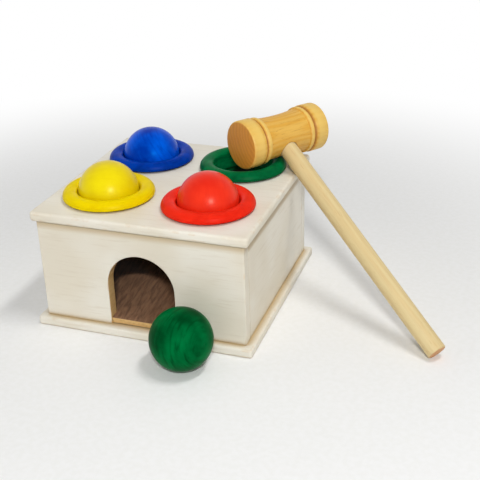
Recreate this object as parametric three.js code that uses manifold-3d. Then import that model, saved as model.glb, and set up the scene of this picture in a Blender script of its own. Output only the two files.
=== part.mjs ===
// Ball pounding bench: a square wooden box with four coloured collars in its top. Three collars hold
// a ball, the fourth is empty. A ball that is pounded through its collar lands on a sloping run inside
// the box and rolls out of the arch in the front wall. A wooden mallet leans on the box, and one ball
// lies on the floor.
// Millimetres and degrees, +Z up. The origin is the middle of the base plate's underside, on the floor.
// The front wall, with the arch, faces -Y.
import * as THREE from 'three';
import { mergeVertices } from 'three/addons/utils/BufferGeometryUtils.js';
import Module from 'manifold-3d';

// Clearances
const FIT = 0.3; // gap round a piece that sits in a cut, on a slope or against a round face
const ARCH_CLEARANCE = 3; // gap between a ball and each jamb of the arch
const THROAT_CLEARANCE = 0.6; // gap between a ball and the collar's throat round it

// Box
const BENCH_HEIGHT = 78; // floor to the top of the top plate
const BODY_WIDTH = 134; // across the outside of the walls, both ways
const WALL_THICKNESS = 8;
const PLATE_THICKNESS = 6;
const PLATE_OVERHANG = 3; // top plate past the walls
const PLATE_EDGE_RADIUS = 1.6; // eased edges of the top plate
const PLATE_CORNER_RADIUS = 2.4;
const BASE_THICKNESS = 5.5;
const BASE_OVERHANG = 5; // base plate past the walls
const BASE_EDGE_RADIUS = 1.2;
const BASE_CORNER_RADIUS = 2;
const ARCH_HEIGHT = 50; // base plate to the crown of the arch

// Balls and collars
const BALL_RADIUS = 19;
const HOLE_OFFSET = 0.25; // middle of a hole, inwards from a quarter of the box's width
const LIP_GRIP = 1.4; // how much smaller than the ball the collar's soft lip is, on the radius
const LIP_DEPTH = 4.6; // seat of the ball on the lip, below the top of the plate
const LIP_THICKNESS = 1.6;
const THROAT_DEPTH = 0.9; // lower end of the throat, below the top of the plate
const LIP_ROOT = 0.6; // width of the soft lip from the throat to the sleeve
const SLEEVE_WALL = 1.6;
const SLEEVE_LENGTH = 9; // below the top of the plate
const SNAP_BEAD = 0.8; // bead under the plate that keeps the collar in its hole
const FOOT_WIDTH = 0.9; // collar's seat on the plate, past the hole
const BRIM_REACH = 6.9; // collar's rounded brim past the hole
const BRIM_HEIGHT = 6.6; // crest of the brim above the plate
const BRIM_LIFT = 1.4; // flat underside of the brim above the plate
const BRIM_EDGE = 0.6; // chamfer round the brim's underside
const FUNNEL_DEPTH = 2.8; // from the crest of the brim down to the throat

// Ball run
const RAMP_ANGLE = 10;
const RAMP_THICKNESS = 4;
const TONGUE_SETBACK = 0.5; // front end of the run in the arch, behind the outside of the front wall
const RAIL_WIDTH = 8;
const RAIL_SETBACK = 30; // from the front wall to the front end of the bearers
const GUIDE_HEIGHT = 13; // corner blocks above the run, where it meets the front wall
const GUIDE_SETBACK = 2; // from the jamb of the arch to a corner block

// Fasteners
const DOWEL_RADIUS = 2;
const CORNER_DOWEL_INTO_FACE = 5; // into the front and back walls
const CORNER_DOWEL_INTO_SIDE = 15; // into the ends of the side walls
const CORNER_DOWEL_INSET = 16; // from the lower and upper edges of the walls
const PLATE_DOWEL_INTO_PLATE = 4;
const PLATE_DOWEL_INTO_WALL = 10;
const FASTENER_SPACING = 70; // between the two dowels or screws of one side wall
const SCREW_RADIUS = 1.5;
const SCREW_HEAD_RADIUS = 3.2;
const SCREW_HEAD_HEIGHT = 1.9;
const SCREW_LENGTH = 18;
const SCREW_POINT = 3;
const SCREW_RECESS = 0.5; // head below the underside of the base plate

// Mallet
const HEAD_RADIUS = 16;
const HEAD_LENGTH = 62;
const HEAD_CHAMFER = 1.4;
const HEAD_WAIST_RADIUS = 13.6;
const BARREL_LENGTH = 10; // plain band at each end of the head
const GROOVE_WIDTH = 2;
const GROOVE_DEPTH = 1.5;
const HEAD_BEAD_WIDTH = 3;
const HEAD_BEAD_DROP = 0.4; // bead below the head's full radius
const HANDLE_RADIUS = 6;
const HANDLE_REACH = 177; // middle of the head to the handle's far end
const HANDLE_PAST_AXIS = 4; // blind end of the handle past the head's middle
const HANDLE_CHAMFER = 1;

// Resting places
const LOOSE_BALL_X = 35.2;
const LOOSE_BALL_GAP = 4.5; // between the ball on the floor and the front wall
const MALLET_COMPASS = -35.3; // direction of the handle seen from above, from +X
const HEAD_ALONG = 22.4; // middle of the head from the empty collar's middle, along the head
const HEAD_ACROSS = 9.7; // and across it, towards the handle
const STEEPEST_LEAN = 45; // upper limit when the lean of the mallet is worked out
const FLOOR_GAP = 0.05; // handle's end above the floor

// Facets
const BALL_SEGMENTS = 24;
const BALL_RINGS = 16;
const COLLAR_SEGMENTS = 32;
const TURNING_SEGMENTS = 24;
const SMALL_SEGMENTS = 12;
const EDGE_SEGMENTS = 3;
const WAIST_STEPS = 6;
const BRIM_STEPS = 8;
const LEAN_HALVINGS = 40;
const WELD_DISTANCE = 1e-4; // points closer than this count as one

// Worked out from the sizes above
const radians = THREE.MathUtils.degToRad;
const bodyHalf = BODY_WIDTH / 2;
const inner = bodyHalf - WALL_THICKNESS;
const wallMiddle = bodyHalf - WALL_THICKNESS / 2;
const plateWidth = BODY_WIDTH + 2 * PLATE_OVERHANG;
const baseWidth = BODY_WIDTH + 2 * BASE_OVERHANG;
const wallTop = BENCH_HEIGHT - PLATE_THICKNESS;
const archRadius = BALL_RADIUS + ARCH_CLEARANCE;
const throatRadius = BALL_RADIUS + THROAT_CLEARANCE;
const lipRadius = BALL_RADIUS - LIP_GRIP;
const sleeveRadius = throatRadius + LIP_ROOT + SLEEVE_WALL;
const holeRadius = sleeveRadius + FIT;
const footRadius = holeRadius + FOOT_WIDTH;
const collarRadius = holeRadius + BRIM_REACH;
const seatHeight = Math.sqrt((BALL_RADIUS + FIT) ** 2 - lipRadius ** 2) - LIP_DEPTH;
const rampSlope = Math.tan(radians(RAMP_ANGLE));
const rampRise = RAMP_THICKNESS / Math.cos(radians(RAMP_ANGLE));
const rampFront = -bodyHalf + TONGUE_SETBACK;
const rampShoulder = -inner + FIT;
const rampBack = inner - FIT;
const COLOURS = ['yellow', 'red', 'blue', 'green'];
const holeReach = BODY_WIDTH / 4 - HOLE_OFFSET;
const HOLES = {
  yellow: [-holeReach, -holeReach],
  red: [holeReach, -holeReach],
  blue: [-holeReach, holeReach],
  green: [holeReach, holeReach],
};
const SIDES = { left: -1, right: 1 };
const FACES = { front: -1, back: 1 };

// Finishes
const finish = (color, roughness, metalness = 0) => ({ color, roughness, metalness });
const WHITEWASH = finish(0xdcd5c6, 0.6);
const BARE_WOOD = finish(0xb98d5c, 0.75);
const MALLET_WOOD = finish(0xd9a653, 0.5);
const HANDLE_WOOD = finish(0xe3c48f, 0.6);
const DOWEL_WOOD = finish(0xcfae7e, 0.75);
const SCREW_STEEL = finish(0x9a9ca0, 0.35, 0.9);
const PAINT = { yellow: 0xf2d90f, red: 0xf0281c, blue: 0x0d3fb5, green: 0x0b5a34 };
const COLLAR_ROUGHNESS = 0.3;
const BALL_ROUGHNESS = 0.2;

const wasm = await Module();
wasm.setup();
const bench = new THREE.Group();

// Solids for cutting and joining

function toSolid(geometry) {
  const bare = geometry.clone();
  bare.deleteAttribute('normal');
  bare.deleteAttribute('uv');
  const merged = mergeVertices(bare, WELD_DISTANCE);
  const triVerts = [];
  for (let i = 0; i < merged.index.count; i += 3) {
    const corners = [merged.index.getX(i), merged.index.getX(i + 1), merged.index.getX(i + 2)];
    if (new Set(corners).size === 3) triVerts.push(...corners);
  }
  return new wasm.Manifold(
    new wasm.Mesh({
      numProp: 3,
      vertProperties: new Float32Array(merged.attributes.position.array),
      triVerts: new Uint32Array(triVerts),
    }),
  );
}

function toGeometry(solid) {
  const mesh = solid.getMesh();
  const geometry = new THREE.BufferGeometry();
  geometry.setAttribute('position', new THREE.BufferAttribute(mesh.vertProperties, 3));
  geometry.setIndex(new THREE.BufferAttribute(mesh.triVerts, 1));
  geometry.computeVertexNormals();
  return geometry;
}

function cut(geometry, ...tools) {
  return toGeometry(tools.reduce((solid, tool) => solid.subtract(toSolid(tool)), toSolid(geometry)));
}

function piece(name, geometry, look, parent = bench) {
  const mesh = new THREE.Mesh(geometry, new THREE.MeshStandardMaterial(look));
  mesh.name = name;
  parent.add(mesh);
  return mesh;
}

// Basic forms

function roundedRectangle(width, depth, radius) {
  const x = width / 2 - radius;
  const y = depth / 2 - radius;
  const shape = new THREE.Shape();
  shape.absarc(x, y, radius, 0, Math.PI / 2);
  shape.absarc(-x, y, radius, Math.PI / 2, Math.PI);
  shape.absarc(-x, -y, radius, Math.PI, (3 * Math.PI) / 2);
  shape.absarc(x, -y, radius, (3 * Math.PI) / 2, 2 * Math.PI);
  return shape;
}

// A flat board with eased edges and its underside at the given height.
function easedBoard(width, thickness, cornerRadius, edgeRadius, bottom) {
  const core = width - 2 * edgeRadius;
  const shape = roundedRectangle(core, core, cornerRadius - edgeRadius);
  const geometry = new THREE.ExtrudeGeometry(shape, {
    depth: thickness - 2 * edgeRadius,
    curveSegments: EDGE_SEGMENTS,
    bevelThickness: edgeRadius,
    bevelSize: edgeRadius,
    bevelSegments: EDGE_SEGMENTS,
  });
  return geometry.translate(0, 0, bottom + edgeRadius);
}

// A cylinder between two points.
function rod(start, end, radius, sides) {
  const from = new THREE.Vector3(...start);
  const to = new THREE.Vector3(...end);
  const direction = to.clone().sub(from);
  const geometry = new THREE.CylinderGeometry(radius, radius, direction.length(), sides);
  const turn = new THREE.Quaternion().setFromUnitVectors(new THREE.Vector3(0, 1, 0), direction.normalize());
  const middle = from.add(to).multiplyScalar(0.5);
  return geometry.applyQuaternion(turn).translate(middle.x, middle.y, middle.z);
}

// A profile in (y, z) drawn out along X, centred on the given x.
function alongX(outline, width, x) {
  const shape = new THREE.Shape(outline.map(([y, z]) => new THREE.Vector2(y, z)));
  const geometry = new THREE.ExtrudeGeometry(shape, { depth: width, bevelEnabled: false });
  const axes = new THREE.Matrix4().makeBasis(
    new THREE.Vector3(0, 1, 0),
    new THREE.Vector3(0, 0, 1),
    new THREE.Vector3(1, 0, 0),
  );
  return geometry.applyMatrix4(axes).translate(x - width / 2, 0, 0);
}

// A profile of (radius, height) pairs turned about Z.
function turned(profile, segments) {
  const points = profile.map(([radius, height]) => new THREE.Vector2(radius, height));
  return new THREE.LatheGeometry(points, segments).rotateX(Math.PI / 2);
}

function block(low, high) {
  const size = high.map((value, i) => value - low[i]);
  const middle = high.map((value, i) => (value + low[i]) / 2);
  return new THREE.BoxGeometry(...size).translate(...middle);
}

// Dowels and screws, with the bores that take them

const bores = { front: [], back: [], left: [], right: [], plate: [], base: [] };

function dowel(name, start, end, boredPieces) {
  const axis = new THREE.Vector3(...end).sub(new THREE.Vector3(...start)).normalize();
  const shrink = axis.clone().multiplyScalar(FIT);
  const from = new THREE.Vector3(...start).add(shrink).toArray();
  const to = new THREE.Vector3(...end).sub(shrink).toArray();
  piece(name, rod(from, to, DOWEL_RADIUS, SMALL_SEGMENTS), DOWEL_WOOD);
  const bore = rod(start, end, DOWEL_RADIUS + FIT, SMALL_SEGMENTS);
  boredPieces.forEach((key) => bores[key].push(bore));
}

function cornerDowels() {
  const levels = { low: BASE_THICKNESS + CORNER_DOWEL_INSET, high: wallTop - CORNER_DOWEL_INSET };
  for (const [face, faceSign] of Object.entries(FACES)) {
    for (const [side, sideSign] of Object.entries(SIDES)) {
      for (const [level, z] of Object.entries(levels)) {
        const start = [sideSign * wallMiddle, faceSign * (inner - CORNER_DOWEL_INTO_SIDE), z];
        const end = [sideSign * wallMiddle, faceSign * (inner + CORNER_DOWEL_INTO_FACE), z];
        dowel(`corner_dowel_${face}_${side}_${level}`, start, end, [face, side]);
      }
    }
  }
}

function plateDowels() {
  for (const [side, sideSign] of Object.entries(SIDES)) {
    for (const [face, faceSign] of Object.entries(FACES)) {
      const x = sideSign * wallMiddle;
      const y = (faceSign * FASTENER_SPACING) / 2;
      const start = [x, y, wallTop - PLATE_DOWEL_INTO_WALL];
      const end = [x, y, wallTop + PLATE_DOWEL_INTO_PLATE];
      dowel(`plate_dowel_${side}_${face}`, start, end, [side, 'plate']);
    }
  }
}

// Outline of a countersunk screw, grown by the given gap on every side.
function screwProfile(gap) {
  const bottom = SCREW_RECESS - gap;
  const neck = SCREW_RECESS + SCREW_HEAD_HEIGHT + gap;
  const tip = SCREW_RECESS + SCREW_LENGTH + gap;
  return [
    [0, bottom],
    [SCREW_HEAD_RADIUS + gap, bottom],
    [SCREW_RADIUS + gap, neck],
    [SCREW_RADIUS + gap, tip - SCREW_POINT],
    [0, tip],
  ];
}

function baseScrews() {
  for (const [side, sideSign] of Object.entries(SIDES)) {
    for (const [face, faceSign] of Object.entries(FACES)) {
      const x = sideSign * wallMiddle;
      const y = (faceSign * FASTENER_SPACING) / 2;
      const screw = turned(screwProfile(0), SMALL_SEGMENTS).translate(x, y, 0);
      piece(`base_screw_${side}_${face}`, screw, SCREW_STEEL);
      const bore = turned(screwProfile(FIT), SMALL_SEGMENTS).translate(x, y, 0);
      const mouthRadius = SCREW_HEAD_RADIUS + FIT;
      const mouth = rod([x, y, -FIT], [x, y, SCREW_RECESS], mouthRadius, SMALL_SEGMENTS);
      bores[side].push(bore);
      bores.base.push(bore, mouth);
    }
  }
}

// Walls and boards

function archedWall() {
  const foot = BASE_THICKNESS;
  const spring = foot + ARCH_HEIGHT - archRadius;
  const shape = new THREE.Shape();
  shape.moveTo(-bodyHalf, foot);
  shape.lineTo(-archRadius, foot);
  shape.lineTo(-archRadius, spring);
  shape.absarc(0, spring, archRadius, Math.PI, 0, true);
  shape.lineTo(archRadius, foot);
  shape.lineTo(bodyHalf, foot);
  shape.lineTo(bodyHalf, wallTop);
  shape.lineTo(-bodyHalf, wallTop);
  const geometry = new THREE.ExtrudeGeometry(shape, {
    depth: WALL_THICKNESS,
    bevelEnabled: false,
    curveSegments: TURNING_SEGMENTS / 2,
  });
  return geometry.rotateX(Math.PI / 2).translate(0, -inner, 0);
}

function boxWalls() {
  const backWall = block([-bodyHalf, inner, BASE_THICKNESS], [bodyHalf, bodyHalf, wallTop]);
  piece('front_panel', cut(archedWall(), ...bores.front), WHITEWASH);
  piece('back_panel', cut(backWall, ...bores.back), WHITEWASH);
  for (const [side, sign] of Object.entries(SIDES)) {
    const near = Math.min(sign * inner, sign * bodyHalf);
    const wall = block([near, -inner, BASE_THICKNESS], [near + WALL_THICKNESS, inner, wallTop]);
    piece(`${side}_panel`, cut(wall, ...bores[side]), WHITEWASH);
  }
}

function boards() {
  const base = easedBoard(baseWidth, BASE_THICKNESS, BASE_CORNER_RADIUS, BASE_EDGE_RADIUS, 0);
  piece('base_plate', cut(base, ...bores.base), WHITEWASH);
  const plate = easedBoard(plateWidth, PLATE_THICKNESS, PLATE_CORNER_RADIUS, PLATE_EDGE_RADIUS, wallTop);
  const holes = Object.values(HOLES).map(([x, y]) =>
    rod([x, y, wallTop - FIT], [x, y, BENCH_HEIGHT + FIT], holeRadius, COLLAR_SEGMENTS),
  );
  piece('top_plate', cut(plate, ...holes, ...bores.plate), WHITEWASH);
}

// Ball run inside the box. Its front is a tongue that lies in the arch.

const rampUnderside = (y) => BASE_THICKNESS + FIT + (y - rampFront) * rampSlope;
const rampTop = (y) => rampUnderside(y) + rampRise;

function ballRun() {
  const outline = [
    [rampFront, rampUnderside(rampFront)],
    [rampBack, rampUnderside(rampBack)],
    [rampBack, rampTop(rampBack)],
    [rampFront, rampTop(rampFront)],
  ];
  const tongueHalf = archRadius - FIT;
  const besideTongue = [
    block([-bodyHalf, -bodyHalf, 0], [-tongueHalf, rampShoulder, wallTop]),
    block([tongueHalf, -bodyHalf, 0], [bodyHalf, rampShoulder, wallTop]),
  ];
  piece('ramp_board', cut(alongX(outline, 2 * (inner - FIT), 0), ...besideTongue), BARE_WOOD);

  const railFront = -inner + RAIL_SETBACK;
  const railOutline = [
    [railFront, BASE_THICKNESS],
    [rampBack, BASE_THICKNESS],
    [rampBack, rampUnderside(rampBack) - FIT],
    [railFront, rampUnderside(railFront) - FIT],
  ];
  const guideLeg = inner - FIT - archRadius - GUIDE_SETBACK;
  const guideTop = rampTop(rampShoulder) + GUIDE_HEIGHT;
  const underGuide = [
    [rampShoulder - FIT, 0],
    [rampBack, 0],
    [rampBack, rampTop(rampBack) + FIT],
    [rampShoulder - FIT, rampTop(rampShoulder - FIT) + FIT],
  ];
  for (const [side, sign] of Object.entries(SIDES)) {
    const railX = sign * (inner - FIT - RAIL_WIDTH / 2);
    piece(`ramp_rail_${side}`, alongX(railOutline, RAIL_WIDTH, railX), BARE_WOOD);

    const corner = new THREE.Shape();
    corner.moveTo(sign * (inner - FIT), rampShoulder);
    corner.lineTo(sign * (inner - FIT), rampShoulder + guideLeg);
    corner.lineTo(sign * (inner - FIT - guideLeg), rampShoulder);
    const prism = new THREE.ExtrudeGeometry(corner, { depth: guideTop, bevelEnabled: false });
    const ground = alongX(underGuide, BODY_WIDTH, 0);
    piece(`guide_${side}`, cut(prism, ground), BARE_WOOD);
  }
}

// Collars and balls

// Outline of a collar in (radius, height above the plate), from its foot along the brim's underside,
// over the crest to the throat, and round the lip and the sleeve back to the foot.
function collarProfile() {
  const crest = (collarRadius + throatRadius) / 2;
  const halfWidth = (collarRadius - throatRadius) / 2;
  const edgeTop = BRIM_LIFT + BRIM_EDGE;
  const brimArc = [];
  for (let i = 0; i <= BRIM_STEPS; i += 1) {
    const angle = (Math.PI * i) / BRIM_STEPS;
    const drop = i < BRIM_STEPS / 2 ? BRIM_HEIGHT - edgeTop : FUNNEL_DEPTH;
    brimArc.push([crest + halfWidth * Math.cos(angle), BRIM_HEIGHT - drop * (1 - Math.sin(angle))]);
  }
  const sleeveInside = sleeveRadius - SLEEVE_WALL;
  const beadTop = -PLATE_THICKNESS - FIT;
  return [
    [footRadius, 0],
    [footRadius, BRIM_LIFT],
    [collarRadius - BRIM_EDGE, BRIM_LIFT],
    ...brimArc,
    [throatRadius, -THROAT_DEPTH],
    [lipRadius, -LIP_DEPTH],
    [lipRadius, -LIP_DEPTH - LIP_THICKNESS / 2],
    [sleeveInside, -LIP_DEPTH - LIP_THICKNESS],
    [sleeveInside, -SLEEVE_LENGTH],
    [sleeveRadius, -SLEEVE_LENGTH],
    [sleeveRadius + SNAP_BEAD, beadTop - SNAP_BEAD],
    [sleeveRadius, beadTop],
    [sleeveRadius, 0],
    [footRadius, 0],
  ];
}

function collars() {
  for (const colour of COLOURS) {
    const [x, y] = HOLES[colour];
    const ring = turned(collarProfile(), COLLAR_SEGMENTS).translate(x, y, BENCH_HEIGHT);
    piece(`collar_${colour}`, ring, finish(PAINT[colour], COLLAR_ROUGHNESS));
  }
}

// The ball on the floor stops short of the front wall and of the base plate's edge.
function looseBallPlace() {
  const reach = BALL_RADIUS + LOOSE_BALL_GAP;
  const edgeDrop = BALL_RADIUS - BASE_THICKNESS;
  const edgeReach = BASE_OVERHANG + Math.sqrt((BALL_RADIUS + FIT) ** 2 - edgeDrop ** 2);
  return [LOOSE_BALL_X, -bodyHalf - Math.max(reach, edgeReach), BALL_RADIUS];
}

function balls() {
  for (const colour of COLOURS) {
    const seat = [...HOLES[colour], BENCH_HEIGHT + seatHeight];
    const place = colour === 'green' ? looseBallPlace() : seat;
    const ball = new THREE.SphereGeometry(BALL_RADIUS, BALL_SEGMENTS, BALL_RINGS);
    ball.rotateX(Math.PI / 2).translate(...place);
    piece(`ball_${colour}`, ball, finish(PAINT[colour], BALL_ROUGHNESS));
  }
}

// Mallet

// Half outline of the head, from one end face to the middle of its waist.
function headHalf() {
  const half = HEAD_LENGTH / 2;
  const bandEnd = half - BARREL_LENGTH;
  const beadStart = bandEnd - GROOVE_WIDTH;
  const waistStart = beadStart - HEAD_BEAD_WIDTH;
  const beadRadius = HEAD_RADIUS - HEAD_BEAD_DROP;
  const shoulder = HEAD_RADIUS - GROOVE_DEPTH;
  const outline = [
    [0, half],
    [HEAD_RADIUS - HEAD_CHAMFER, half],
    [HEAD_RADIUS, half - HEAD_CHAMFER],
    [HEAD_RADIUS, bandEnd],
    [shoulder, bandEnd - GROOVE_WIDTH / 2],
    [beadRadius, beadStart],
    [beadRadius, waistStart + HEAD_BEAD_DROP],
  ];
  for (let i = 0; i < WAIST_STEPS; i += 1) {
    const along = waistStart * (1 - i / WAIST_STEPS);
    const swell = (along / waistStart) ** 2;
    outline.push([HEAD_WAIST_RADIUS + (shoulder - HEAD_WAIST_RADIUS) * swell, along]);
  }
  return outline;
}

function headGeometry() {
  const upper = headHalf();
  const lower = upper.map(([radius, along]) => [radius, -along]);
  const profile = [...lower, [HEAD_WAIST_RADIUS, 0], ...upper.reverse()];
  const solid = turned(profile, TURNING_SEGMENTS).rotateY(Math.PI / 2);
  const boreTop = [0, 0, HANDLE_PAST_AXIS + FIT];
  const boreMouth = [0, 0, -HEAD_RADIUS];
  return cut(solid, rod(boreTop, boreMouth, HANDLE_RADIUS + FIT, TURNING_SEGMENTS));
}

function handleGeometry() {
  const profile = [
    [0, -HANDLE_REACH],
    [HANDLE_RADIUS - HANDLE_CHAMFER, -HANDLE_REACH],
    [HANDLE_RADIUS, -HANDLE_REACH + HANDLE_CHAMFER],
    [HANDLE_RADIUS, HANDLE_PAST_AXIS],
    [0, HANDLE_PAST_AXIS],
  ];
  return turned(profile, TURNING_SEGMENTS);
}

// Height of the head's middle when the handle leans at the given angle with its end on the floor.
function headHeight(lean) {
  const footing = (HANDLE_REACH - HANDLE_CHAMFER) * Math.sin(lean);
  return FLOOR_GAP + footing + HANDLE_RADIUS * Math.cos(lean);
}

// True if the handle clears the top plate's right edge and the head clears the plate and the collar's brim.
function leanClears(lean, headX) {
  const compass = radians(MALLET_COMPASS);
  const edgeX = plateWidth / 2 - PLATE_EDGE_RADIUS;
  const edgeZ = BENCH_HEIGHT - PLATE_EDGE_RADIUS;
  const run = (edgeX - headX) / Math.cos(compass);
  const acrossEdge = Math.cos(compass) * Math.cos(lean);
  const slant = Math.hypot(Math.sin(lean), acrossEdge) / acrossEdge;
  const overEdge = headHeight(lean) - run * Math.tan(lean) - edgeZ;
  const handleClears = overEdge >= (HANDLE_RADIUS + PLATE_EDGE_RADIUS + FIT) * slant;
  const seat = BENCH_HEIGHT + FIT + Math.max(HEAD_RADIUS, BRIM_HEIGHT + HEAD_WAIST_RADIUS);
  return handleClears && headHeight(lean) >= seat;
}

function mallet() {
  const compass = radians(MALLET_COMPASS);
  const [collarX, collarY] = HOLES.green;
  const headX = collarX - HEAD_ALONG * Math.sin(compass) + HEAD_ACROSS * Math.cos(compass);
  const headY = collarY + HEAD_ALONG * Math.cos(compass) + HEAD_ACROSS * Math.sin(compass);
  let low = 0;
  let lean = radians(STEEPEST_LEAN);
  for (let i = 0; i < LEAN_HALVINGS; i += 1) {
    const middle = (low + lean) / 2;
    if (leanClears(middle, headX)) {
      lean = middle;
    } else {
      low = middle;
    }
  }
  const placed = new THREE.Group();
  placed.position.set(headX, headY, headHeight(lean));
  placed.rotation.z = compass - Math.PI / 2;
  const leaning = new THREE.Group();
  leaning.rotation.x = Math.PI / 2 - lean;
  placed.add(leaning);
  bench.add(placed);
  piece('hammer_head', headGeometry(), MALLET_WOOD, leaning);
  piece('hammer_handle', handleGeometry(), HANDLE_WOOD, leaning);
}

cornerDowels();
plateDowels();
baseScrews();
boxWalls();
boards();
ballRun();
collars();
balls();
mallet();

export default bench;
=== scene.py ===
"""Looks of the ball pounding bench: painted boards, gloss balls in soft collars, a turned wooden mallet."""
import math

import bmesh
import bpy
import numpy as np
from mathutils import Matrix, Vector


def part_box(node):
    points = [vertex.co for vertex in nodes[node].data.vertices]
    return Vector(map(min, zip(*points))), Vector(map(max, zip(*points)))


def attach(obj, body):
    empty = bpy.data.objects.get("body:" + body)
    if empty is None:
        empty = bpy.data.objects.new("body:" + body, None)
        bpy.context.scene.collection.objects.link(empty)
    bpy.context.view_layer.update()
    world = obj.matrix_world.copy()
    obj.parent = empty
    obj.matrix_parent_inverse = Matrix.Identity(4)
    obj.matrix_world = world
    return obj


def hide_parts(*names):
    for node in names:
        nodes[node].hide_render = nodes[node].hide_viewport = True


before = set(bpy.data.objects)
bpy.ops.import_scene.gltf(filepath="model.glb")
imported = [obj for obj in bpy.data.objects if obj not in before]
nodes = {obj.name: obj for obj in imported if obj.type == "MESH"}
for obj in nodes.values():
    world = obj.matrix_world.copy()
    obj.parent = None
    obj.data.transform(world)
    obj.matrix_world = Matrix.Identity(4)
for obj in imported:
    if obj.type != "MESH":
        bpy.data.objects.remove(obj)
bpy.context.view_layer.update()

scene = bpy.context.scene

# Sizes in metres, the same as in the solids
BENCH_MIDDLE = 0.039  # height of the middle of the box
WALL = 0.008
WALL_INSIDE = 0.059  # from the middle of the box to the inside of a wall
ARCH_RADIUS = 0.022
ARCH_HEIGHT = 0.050
PLATE_THICKNESS = 0.006
PLATE_EDGE = 0.0016
PLATE_CORNER = 0.0024
BASE_EDGE = 0.0012
BASE_CORNER = 0.002
HOLE_RADIUS = 0.0221
BALL_RADIUS = 0.019
COLLAR_RADIUS = 0.029
BRIM_HEIGHT = 0.0066
BRIM_LIFT = 0.0014
BRIM_EDGE = 0.0006
FUNNEL_DEPTH = 0.0028
COLLAR_FOOT = 0.023
SLEEVE_RADIUS = 0.0218
SLEEVE_INSIDE = 0.0202
SLEEVE_LENGTH = 0.009
THROAT_RADIUS = 0.0196
THROAT_DEPTH = 0.0009
LIP_RADIUS = 0.0176
LIP_DEPTH = 0.0046
LIP_THICKNESS = 0.0016
SNAP_BEAD = 0.0008
FIT = 0.0003
HEAD_RADIUS = 0.016
HEAD_LENGTH = 0.062
HEAD_WAIST = 0.0136
HEAD_CHAMFER = 0.0014
BARREL_LENGTH = 0.010
GROOVE_WIDTH = 0.002
GROOVE_DEPTH = 0.0015
BEAD_WIDTH = 0.003
BEAD_DROP = 0.0004
HANDLE_RADIUS = 0.006
HANDLE_PAST_AXIS = 0.004
HANDLE_CHAMFER = 0.001
RAMP_ANGLE = math.radians(10)
RAMP_THICKNESS = 0.004
SCREW_HEAD_RADIUS = 0.0032
SCREW_HEAD_HEIGHT = 0.0019
SCREW_RADIUS = 0.0015
SCREW_POINT = 0.003

# Finer forms, in metres
WALL_EDGE = 0.0005
RAMP_EDGE = 0.0004
LEAST_CORNER = 0.0002  # tightest radius of a board's corner
WEAR_FADE = 0.0015  # a rubbed edge fades out over this length
WEAR_SHARE = 0.4  # or over this share of a thin board's side
LIP_EASE_WIDTH = 0.0002
LIP_EASE_DEPTH = 0.0003
SINK_RADIUS = 0.0035
SINK_DEPTH = 0.0023
SINK_START = -0.001  # the sink's cutter starts below the base plate
SCREW_RIM = 0.0002
CROSS_LENGTH = 0.0034
CROSS_WIDTH = 0.0007
CROSS_HEIGHT = 0.0024  # half of it lies in the screw's head
BALL_FLAT = math.radians(5)  # half the angle of the flat at each end of a ball's turning axis
BALL_PRICK = [(0.0007, 0.0), (0.0004, 0.0001), (0.0, 0.0004)]  # centre prick in the flat, (radius, depth)
TURNED_EASE = 0.0003  # rounding of the head's turned edges
BAND_FADE = 0.003  # the pale band darkens over this length towards its groove
BAND_EDGE = 0.0004
BEAD_EASE = 0.0006
BEAD_EDGE = 0.0001
BORE_LENGTH = 0.03  # the bore's cutter reaches out of the head

# Tones along the turned head: 0 is dark, 0.5 is the plain wood and 1 is pale
GROOVE_TONE = 0.0
GROOVE_EDGE_TONE = 0.3
WAIST_TONE = 0.45
PLAIN_TONE = 0.5
BAND_EDGE_TONE = 0.6
CHAMFER_TONE = 0.8
BAND_TONE = 1.0

# Painted shadow line on the walls under the top board's overhang: it starts and is full this far below the
# upper edge of a wall
FRONT_PAINTED_SHADOW = (0.0065, 0.002)
SIDE_PAINTED_SHADOW = (0.0085, 0.0055)

# Reach of the painted shade out of inside corners, on the walls and base partly joint stain too
WALL_SHADE_AND_STAIN = 0.005
LEDGE_SHADE_AND_STAIN = 0.008
COLLAR_SHADE = 0.006

# Tests that pick the faces of a board
INSIDE_REACH = 0.02  # the middle of the box lies further than this in front of an inside face
SQUARE_ON = 0.99  # least part of a normal along one axis, on a flat face
FRONT_ON = 0.9  # least part of a normal towards the front, on a front face
EDGE_ON = 0.5  # most part of a normal towards the front, in the thickness of a wall
ARCH_MARGIN = 0.001

# Fineness of the meshes and materials
EASE_STEPS = 4
CORNER_STEPS = 6
ARCH_STEPS = 48
RING_STEPS = 96
BRIM_STEPS = 28
WAIST_STEPS = 16
SMOOTH_ANGLE = math.radians(40)
CREVICE_SAMPLES = 8

# Places of the colour sockets of a mix node, whose names are not unique
MIX_SHARE = 0
MIX_FIRST = 6
MIX_SECOND = 7
MIX_RESULT = 2

# Camera, in metres, degrees and millimetres of lens. Azimuth runs from the front towards +X.
CAMERA_AZIMUTH = 19.4
CAMERA_ELEVATION = 26.19
CAMERA_ROLL = -1.6
CAMERA_DISTANCE = 0.5931
CAMERA_AIM_RIGHT = 0.0389
CAMERA_AIM_HEIGHT = 0.0342
CAMERA_LENS = 66.24
CAMERA_SENSOR = 36.0

# Floor and light
FLOOR_REACH = 6.0
FLOOR_WHITE_FROM = 0.16
FLOOR_WHITE_AT = 0.5
AMBIENT = 0.30
LAMP_AIM = Vector((0.03, 0.0, 0.06))

COLOURS = ("yellow", "red", "blue", "green")
# Tilt and compass turn of each ball's turning axis, in degrees
BALL_TILTS = {"yellow": (62, 200), "red": (75, -50), "blue": (58, 110), "green": (80, 70)}
SCREWS = [f"base_screw_{side}_{face}" for side in ("left", "right") for face in ("front", "back")]


# Material helpers


def srgb(red, green, blue):
    """A colour as seen, 0 to 255, as the linear colour a shader takes."""
    def linear(value):
        share = value / 255
        return share / 12.92 if share <= 0.04045 else ((share + 0.055) / 1.055) ** 2.4
    return (linear(red), linear(green), linear(blue), 1.0)


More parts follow.
